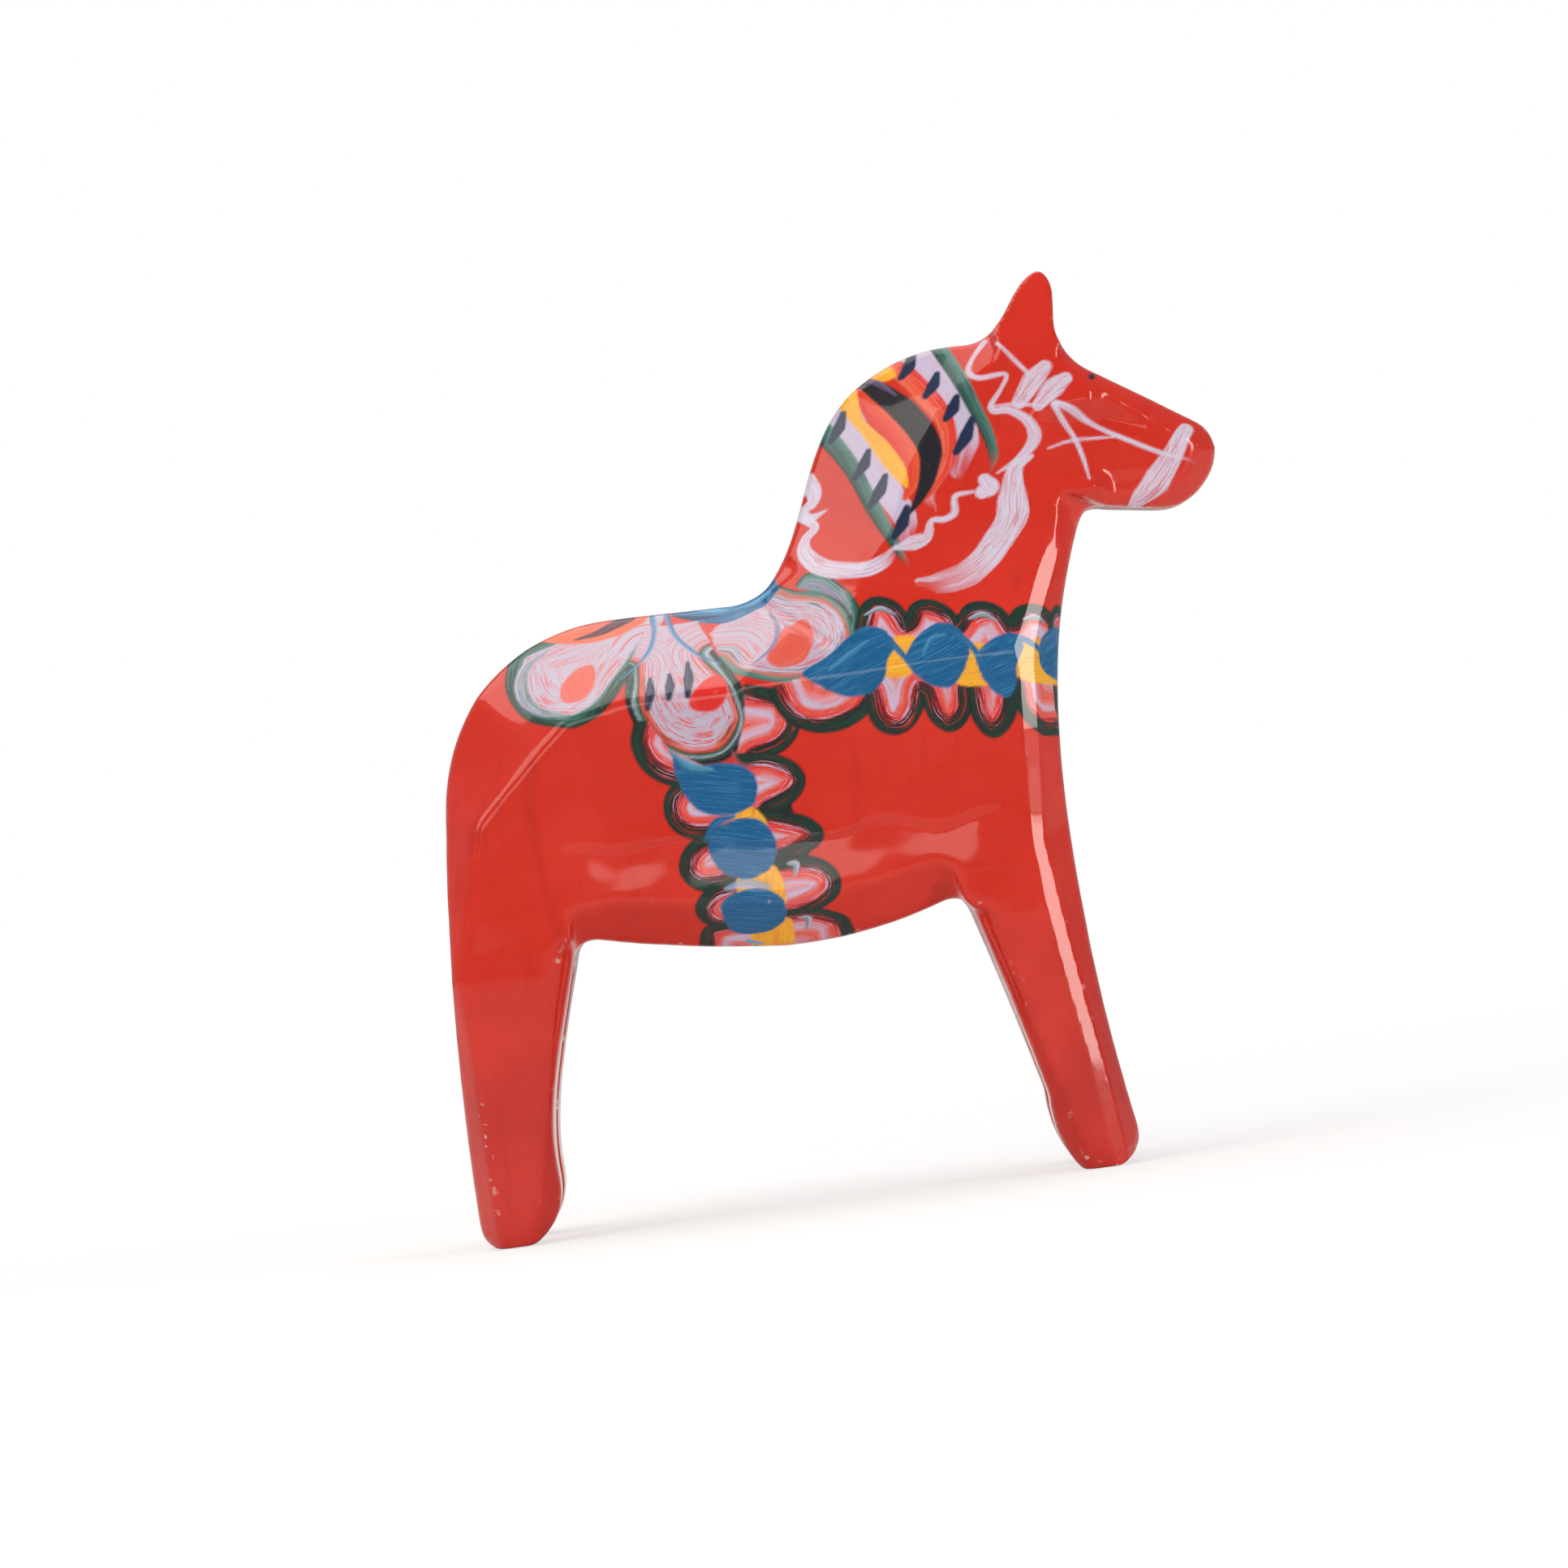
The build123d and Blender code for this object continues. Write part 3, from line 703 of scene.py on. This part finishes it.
white([(37.7, 110), (39.9, 105.2), (41, 101.4), (41.4, 98.6)], [0.8, 0.7, 0.55, 0.2])
white([(36.1, 103.8), (40, 104.5), (46.2, 104.2)], [0.25, 0.5, 0.3])
white([(56.6, 104.1), (53.5, 100), (51.3, 97.3), (48.3, 94.8)], [2.0, 3.0, 3.6, 2.8], 0.6, thin=0.1)
white([(57, 103.3), (54.8, 100.1)], [0.3, 0.5], 0.2)
patch([(43.3, 113.3), (43.9, 113.8), (44.3, 113.3), (43.8, 112.8)], [], navy, navy, 0.1, closed=True)


def sharpness(mesh, points):
    """How strongly the skin is rounded over at each point, above 0 on an outer edge."""
    a, b = edge_ends(mesh)
    normals = vectors(mesh, "normal")
    normals /= np.maximum(np.linalg.norm(normals, axis=1, keepdims=True), 1e-9)
    leg = points[b] - points[a]
    bend = ((normals[b] - normals[a]) * leg).sum(axis=1) / np.maximum((leg ** 2).sum(axis=1), 1e-6)
    total, count = np.zeros(len(points)), np.zeros(len(points))
    for end in (a, b):
        np.add.at(total, end, bend)
        np.add.at(count, end, 1)
    curve = total / np.maximum(count, 1)
    for _ in range(3):
        spread = np.zeros(len(points))
        np.add.at(spread, a, curve[b])
        np.add.at(spread, b, curve[a])
        curve = 0.4 * curve + 0.6 * spread / np.maximum(count, 1)
    return curve


low_edges = 1 - smooth(40, 56, skin_points[:, 2]) + smooth(44, 52, skin_points[:, 0]) * 0.5
outer_edge = smooth(0.12, 0.45, sharpness(skin, skin_points)) * np.clip(low_edges, 0.12, 1)


def keep_on_skin(name, values):
    values = np.asarray(values, np.float32)
    if values.ndim == 1:
        skin.attributes.new(name, "FLOAT", "POINT").data.foreach_set("value", values)
    else:
        skin.attributes.new(name, "FLOAT_VECTOR", "POINT").data.foreach_set("vector", values.ravel())


keep_on_skin("paint_colour", colour)
keep_on_skin("between_hairs", between_hairs)
keep_on_skin("hair_run", np.stack((hair_across, hair_along, hair_show), axis=1))
keep_on_skin("paint_body", paint_body)
keep_on_skin("paint_cover", paint_cover)
keep_on_skin("outer_edge", outer_edge)


class Bench:
    """Places and joins nodes from left to right in one tree."""

    def __init__(self, tree):
        self.tree = tree
        self.across = 0

    def add(self, kind, *feeds, named=None, **settings):
        node = self.tree.nodes.new("ShaderNode" + kind)
        self.across += 180
        node.location = (self.across, 0)
        for key, value in settings.items():
            setattr(node, key, value)
        for slot, feed in (*enumerate(feeds), *(named or {}).items()):
            self.feed(node, slot, feed)
        return node

    def feed(self, node, slot, feed):
        if feed is None:
            return
        if isinstance(feed, bpy.types.NodeSocket):
            self.tree.links.new(feed, node.inputs[slot])
        else:
            node.inputs[slot].default_value = feed

    def sum(self, operation, *feeds, clamp=False):
        return self.add("Math", *feeds, operation=operation, use_clamp=clamp).outputs[0]

    def mix(self, factor, a, b, blend="MIX"):
        node = self.add("Mix", data_type="RGBA", blend_type=blend)
        for slot, feed in ((0, factor), (6, a), (7, b)):
            self.feed(node, slot, feed)
        return node.outputs[2]

    def spread(self, value, low, high, to_low=0.0, to_high=1.0):
        node = self.add("MapRange", value, low, high, to_low, to_high, interpolation_type="SMOOTHSTEP")
        return node.outputs[0]

    def attribute(self, name):
        return self.add("Attribute", attribute_name=name)

    def bump(self, height, strength, distance):
        return self.add("Bump", named={"Strength": strength, "Distance": distance, "Height": height}).outputs[0]


def empty_material(name):
    material = bpy.data.materials.new(name)
    material.use_nodes = True
    material.node_tree.nodes.clear()
    return material, Bench(material.node_tree)


def rgba(shade):
    return (*shade, 1.0)


def new_group(name, inputs, outputs):
    tree = bpy.data.node_groups.new(name, "ShaderNodeTree")
    for label, kind, default in inputs:
        socket = tree.interface.new_socket(label, in_out="INPUT", socket_type=kind)
        if default is not None:
            socket.default_value = default
    for label, kind in outputs:
        tree.interface.new_socket(label, in_out="OUTPUT", socket_type=kind)
    return tree, Bench(tree), tree.nodes.new("NodeGroupInput"), tree.nodes.new("NodeGroupOutput")


# Brush hairs: fine lines along a stroke, drawn from its own run, for colour and for the ridges left in
# the paint.
hair_tree, bench, given, result = new_group(
    "brush_hairs",
    [("Run", "NodeSocketVector", None), ("Hairs per mm", "NodeSocketFloat", 3.2)],
    [("Hair", "NodeSocketFloat"), ("Ridge", "NodeSocketFloat")],
)
parts = bench.add("SeparateXYZ", given.outputs["Run"])
across = bench.sum("MULTIPLY", parts.outputs[0], given.outputs["Hairs per mm"])
along = bench.sum("MULTIPLY", parts.outputs[1], 0.14)
run = bench.add("CombineXYZ", across, along, 0.0).outputs[0]
streaks = bench.add(
    "TexNoise", run, noise_dimensions="2D", named={"Scale": 1.0, "Detail": 3.0, "Roughness": 0.7}
).outputs[0]
bench.feed(result, "Hair", bench.spread(streaks, 0.50, 0.60))
bench.feed(result, "Ridge", streaks)

# Lacquer film: the slow mottling, the vertical runs and the fine dust nibs that a brushed coat of
# lacquer keeps when it dries.
film_tree, bench, given, result = new_group(
    "lacquer_film",
    [("Place", "NodeSocketVector", None)],
    [("Mottle", "NodeSocketFloat"), ("Runs", "NodeSocketFloat"), ("Grain", "NodeSocketFloat")],
)


def cloud(bench, place, scale, detail, stretch=(1, 1, 1)):
    spot = bench.add("Mapping", place, named={"Scale": stretch}).outputs[0]
    return bench.add("TexNoise", spot, named={"Scale": scale, "Detail": detail}).outputs[0]


place = given.outputs["Place"]
bench.feed(result, "Mottle", cloud(bench, place, 75, 4))
bench.feed(result, "Runs", cloud(bench, place, 260, 3, (1, 1, 0.22)))
bench.feed(result, "Grain", cloud(bench, place, 2600, 2))


paint_relief = 0.08 * mm


def lacquer_and_paint():
    material, bench = empty_material("lacquered_and_painted")
    place = bench.add("TexCoord").outputs["Object"]
    film = bench.add("Group", place, node_tree=film_tree)
    run = bench.attribute("hair_run").outputs["Vector"]
    hair = bench.add("Group", run, 3.8, node_tree=hair_tree)
    show = bench.add("SeparateXYZ", run).outputs[2]
    cover = bench.attribute("paint_cover").outputs["Fac"]
    body = bench.attribute("paint_body").outputs["Fac"]
    edge = bench.attribute("outer_edge").outputs["Fac"]
    seen = bench.sum("MULTIPLY", hair.outputs["Hair"], show)
    top, under = (bench.attribute(name).outputs["Vector"] for name in ("paint_colour", "between_hairs"))
    painted = bench.mix(seen, top, under)

    bare = bench.sum("SUBTRACT", 1.0, cover, clamp=True)
    light = bench.spread(film.outputs["Mottle"], 0.42, 0.66)
    lifted = bench.mix(bench.sum("MULTIPLY", light, bench.sum("MULTIPLY", bare, 0.45)), painted,
                       rgba(tint(222, 52, 36)))
    dark = bench.spread(film.outputs["Runs"], 0.55, 0.75)
    pooled = bench.mix(bench.sum("MULTIPLY", dark, bench.sum("MULTIPLY", bare, 0.35)), lifted,
                       rgba(tint(168, 22, 20)))
    speck = bench.spread(film.outputs["Grain"], 0.60, 0.72)
    grained = bench.mix(bench.sum("MULTIPLY", speck, 0.18), pooled, rgba(tint(120, 30, 26)))

    flake = bench.add("TexNoise", place, named={"Scale": 900, "Detail": 2}).outputs[0]
    patchy = bench.add("TexNoise", place, named={"Scale": 110}).outputs[0]
    chipped = bench.sum("MULTIPLY", bench.spread(flake, 0.60, 0.63), bench.spread(patchy, 0.52, 0.60))
    chips = bench.sum("MULTIPLY", chipped, edge)
    base = bench.mix(chips, grained, rgba(tint(238, 214, 200)))

    rubbed = bench.sum("MULTIPLY", edge, 0.05)
    gloss = bench.spread(film.outputs["Mottle"], 0.3, 0.7, 0.26, 0.36)
    roughness = bench.sum("ADD", bench.sum("ADD", gloss, rubbed), bench.sum("MULTIPLY", cover, 0.08))

    ridge = bench.sum("MULTIPLY", bench.sum("MULTIPLY", hair.outputs["Ridge"], cover), 0.5)
    paint_height = bench.sum("ADD", bench.sum("MULTIPLY", body, 0.6), ridge)
    film_height = bench.sum("MULTIPLY", film.outputs["Runs"], 0.35)
    grain_height = bench.sum("MULTIPLY", film.outputs["Grain"], 0.10)
    height = bench.sum("ADD", bench.sum("ADD", paint_height, film_height), grain_height)
    height = bench.sum("SUBTRACT", height, chips)
    relief = bench.bump(height, 0.6, paint_relief)

    shader = bench.add("BsdfPrincipled", named={
        "IOR": 1.5, "Specular IOR Level": 0.12, "Coat Weight": 0.75, "Coat Roughness": 0.05,
        "Base Color": base, "Roughness": roughness, "Normal": relief,
    })
    bench.add("OutputMaterial", shader.outputs[0])
    return material


# Bare wood: the pale, close-grained wood on the glued faces inside and on the dowels, whose rings are
# drawn out along the board.
def bare_wood(name, heart, sap, stretch):
    material, bench = empty_material(name)
    place = bench.add("TexCoord").outputs["Object"]
    spot = bench.add("Mapping", place, named={"Scale": stretch}).outputs[0]
    rings = bench.add(
        "TexWave", spot, wave_type="BANDS", bands_direction="Z", named={"Scale": 90, "Distortion": 4,
                                                                        "Detail": 3}
    )
    fibre = bench.add("TexNoise", spot, named={"Scale": 1400, "Detail": 4}).outputs[0]
    tone = bench.sum("ADD", bench.sum("MULTIPLY", rings.outputs[1], 0.55), bench.sum("MULTIPLY", fibre, 0.45))
    shade = bench.mix(tone, rgba(sap), rgba(heart))
    roughness = bench.spread(fibre, 0.3, 0.7, 0.52, 0.68)
    relief = bench.bump(tone, 0.35, paint_relief)
    shader = bench.add("BsdfPrincipled", named={"Base Color": shade, "Roughness": roughness, "Normal": relief})
    bench.add("OutputMaterial", shader.outputs[0])
    return material


# The three boards again, in glued pine: the finished skin is parted a little inside the glue lines, so
# that the cut misses the legs' inner faces. Each piece is closed with its glued face, and the holes for
# the two dowels are bored in that face.
lacquer = lacquer_and_paint()
glued_face = bare_wood("glued_pine", tint(206, 160, 104), tint(232, 203, 156), (0.12, 1, 1))
glue_line = 5.2 * mm
bore_clearance = 0.05 * mm
bore_end_room = 0.5 * mm
bore_sides = 40
dowel_names = ("front_dowel", "rear_dowel")


def ring(bm, name, y):
    low, high = (Vector(corner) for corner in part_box(name))
    middle = (low + high) / 2
    radius = (high.x - low.x) / 2 + bore_clearance
    turns = [2 * math.pi * k / bore_sides for k in range(bore_sides)]
    return [bm.verts.new((middle.x + radius * math.cos(t), y, middle.z + radius * math.sin(t))) for t in turns]


def round_edges(bm, verts):
    return [bm.edges.new((verts[k - 1], verts[k])) for k in range(len(verts))]


def close_with_bores(bm, y, rings):
    rim = [e for e in bm.edges if e.is_boundary and all(abs(v.co.y - y) < 1e-6 for v in e.verts)]
    circles = [edge for circle in rings for edge in round_edges(bm, circle)]
    made = bmesh.ops.triangle_fill(bm, use_beauty=True, use_dissolve=False, edges=rim + circles,
                                   normal=(0, 1, 0))
    return [piece for piece in made["geom"] if isinstance(piece, bmesh.types.BMFace)]


def bore_wall(bm, near_ring, far_ring):
    return [bm.faces.new((near_ring[k - 1], near_ring[k], far_ring[k],
                          far_ring[k - 1])) for k in range(bore_sides)]


def parted(name, lowest, highest):
    bm = bmesh.new()
    bm.from_mesh(skin)
    inner = []
    rings = {}
    for y, keep in ((lowest, 1), (highest, -1)):
        if y is None:
            continue
        everything = bm.verts[:] + bm.edges[:] + bm.faces[:]
        bmesh.ops.bisect_plane(bm, geom=everything, dist=1e-7, plane_co=(0, y, 0), plane_no=(0, -keep, 0),
                               clear_outer=True)
    for y in (lowest, highest):
        if y is not None:
            rings[y] = [ring(bm, dowel, y) for dowel in dowel_names]
            inner += close_with_bores(bm, y, rings[y])
    if len(rings) == 2:
        for one, other in zip(rings[lowest], rings[highest]):
            inner += bore_wall(bm, one, other)
    else:
        y, circles = next(iter(rings.items()))
        for circle, dowel in zip(circles, dowel_names):
            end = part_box(dowel)[0 if y < 0 else 1][1] + math.copysign(bore_end_room, y)
            far = ring(bm, dowel, end)
            inner += bore_wall(bm, circle, far)
            inner.append(bm.faces.new(far))
    for face in bm.faces:
        face.smooth = True
    for face in inner:
        face.smooth = False
        face.material_index = 1
        for edge in face.edges:
            edge.smooth = False
    bmesh.ops.recalc_face_normals(bm, faces=bm.faces[:])
    mesh = bpy.data.meshes.new(name)
    bm.to_mesh(mesh)
    bm.free()
    mesh.materials.append(lacquer)
    mesh.materials.append(glued_face)
    piece = bpy.data.objects.new(name, mesh)
    bpy.context.scene.collection.objects.link(piece)
    return piece


skin.materials.clear()
for board, name, lowest, highest in (
    ("right_side_board", "right_side", None, -glue_line),
    ("centre_board", "centre", -glue_line, glue_line),
    ("left_side_board", "left_side", glue_line, None),
):
    piece = parted(name, lowest, highest)
    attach(piece, "root")
    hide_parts(board)

# The two dowels that line the boards up while the glue sets. They are turned from birch and glued into
# blind holes, and they keep the shape that the CAD gives them.
birch = bare_wood("turned_birch", tint(214, 180, 134), tint(238, 216, 178), (1, 0.08, 1))
for dowel in dowel_names:
    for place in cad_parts[dowel].material_slots:
        place.material = birch

# The pale sheet of paper that the horse stands on, which isn't part of it. To the camera it glows a
# little more the farther away it is, so that it meets the white room without a horizon.
floor_half = 12.0
sheet = bpy.data.meshes.new("floor")
corners = [(x * floor_half, y * floor_half, 0) for x, y in ((-1, -1), (1, -1), (1, 1), (-1, 1))]
sheet.from_pydata(corners, [], [(0, 1, 2, 3)])
floor = bpy.data.objects.new("floor", sheet)
bpy.context.scene.collection.objects.link(floor)
paper, bench = empty_material("pale_sheet")
place = bench.add("TexCoord").outputs["Object"]
tooth = bench.bump(bench.add("TexNoise", place, named={"Scale": 900}).outputs[0], 0.2, 0.1 * mm)
lit = bench.add("LightPath").outputs["Is Camera Ray"]
grey = bench.mix(lit, (0.80, 0.80, 0.80, 1), (0.34, 0.34, 0.34, 1))
plain = bench.add("BsdfDiffuse", named={"Color": grey, "Normal": tooth})
away = bench.add("VectorMath", place, operation="LENGTH").outputs["Value"]
strength = bench.sum("MULTIPLY", lit, bench.spread(away, 0.1, 1.2, 0.66, 0.90))
glow = bench.add("Emission", named={"Color": (1, 1, 1, 1), "Strength": strength})
both = bench.add("AddShader", plain.outputs[0], glow.outputs[0])
bench.add("OutputMaterial", both.outputs[0])
sheet.materials.append(paper)

# Soft studio light over a dim, even room: a wide box overhead and a little behind, which glazes the back
# and the crest, a large window high on the left, a long low box in front for the belly, and a strip low
# on the right for the breast. The room is plain white to the camera.
world = bpy.data.worlds.new("studio")
bpy.context.scene.world = world
world.use_nodes = True
world.node_tree.nodes.clear()
bench = Bench(world.node_tree)
seen = bench.add("Background", (1, 1, 1, 1)).outputs[0]
fill = bench.add("Background", (0.94, 0.97, 1, 1), 0.36).outputs[0]
lit = bench.add("LightPath").outputs["Is Camera Ray"]
bench.add("OutputWorld", bench.add("MixShader", lit, fill, seen).outputs[0])


lamp_aim = Vector((0, 0, 65)) * mm


def softbox(name, place, size, depth, power):
    lamp = bpy.data.lights.new(name, "AREA")
    lamp.shape = "RECTANGLE"
    lamp.size, lamp.size_y = size, depth
    lamp.energy = power
    lamp.color = (1.0, 0.95, 0.88)
    holder = bpy.data.objects.new(name, lamp)
    bpy.context.scene.collection.objects.link(holder)
    holder.visible_camera = False
    holder.location = place
    holder.rotation_euler = (lamp_aim - Vector(place)).to_track_quat("-Z", "Y").to_euler()


softbox("overhead_box", (-0.1, 0.18, 0.85), 0.9, 0.7, 4.2)
softbox("window_box", (-0.85, -0.62, 0.78), 0.9, 0.9, 6.8)
softbox("front_box", (0.0, -1.4, 0.23), 0.9, 0.14, 1.0)
softbox("side_strip", (0.80, -0.66, 0.27), 0.22, 0.52, 3.8)

# The camera looks square at the right flank from far away through a long lens, and leans a little, so
# that the horse stands slightly tilted in the picture.
lens = bpy.data.cameras.new("camera")
lens.lens = 180
lens.sensor_width = 36
camera = bpy.data.objects.new("camera", lens)
bpy.context.scene.collection.objects.link(camera)
frame_width = 228.8 * mm
lean = math.radians(-7.78)
aim = Vector((-8.3, 0, 60.9)) * mm
stand_off = lens.lens / lens.sensor_width * frame_width
camera.matrix_world = (
    Matrix.Translation(aim - Vector((0, stand_off, 0)))
    @ Matrix.Rotation(math.pi / 2, 4, "X")
    @ Matrix.Rotation(lean, 4, "Z")
)
bpy.context.scene.camera = camera
bpy.context.scene.view_settings.view_transform = "Standard"
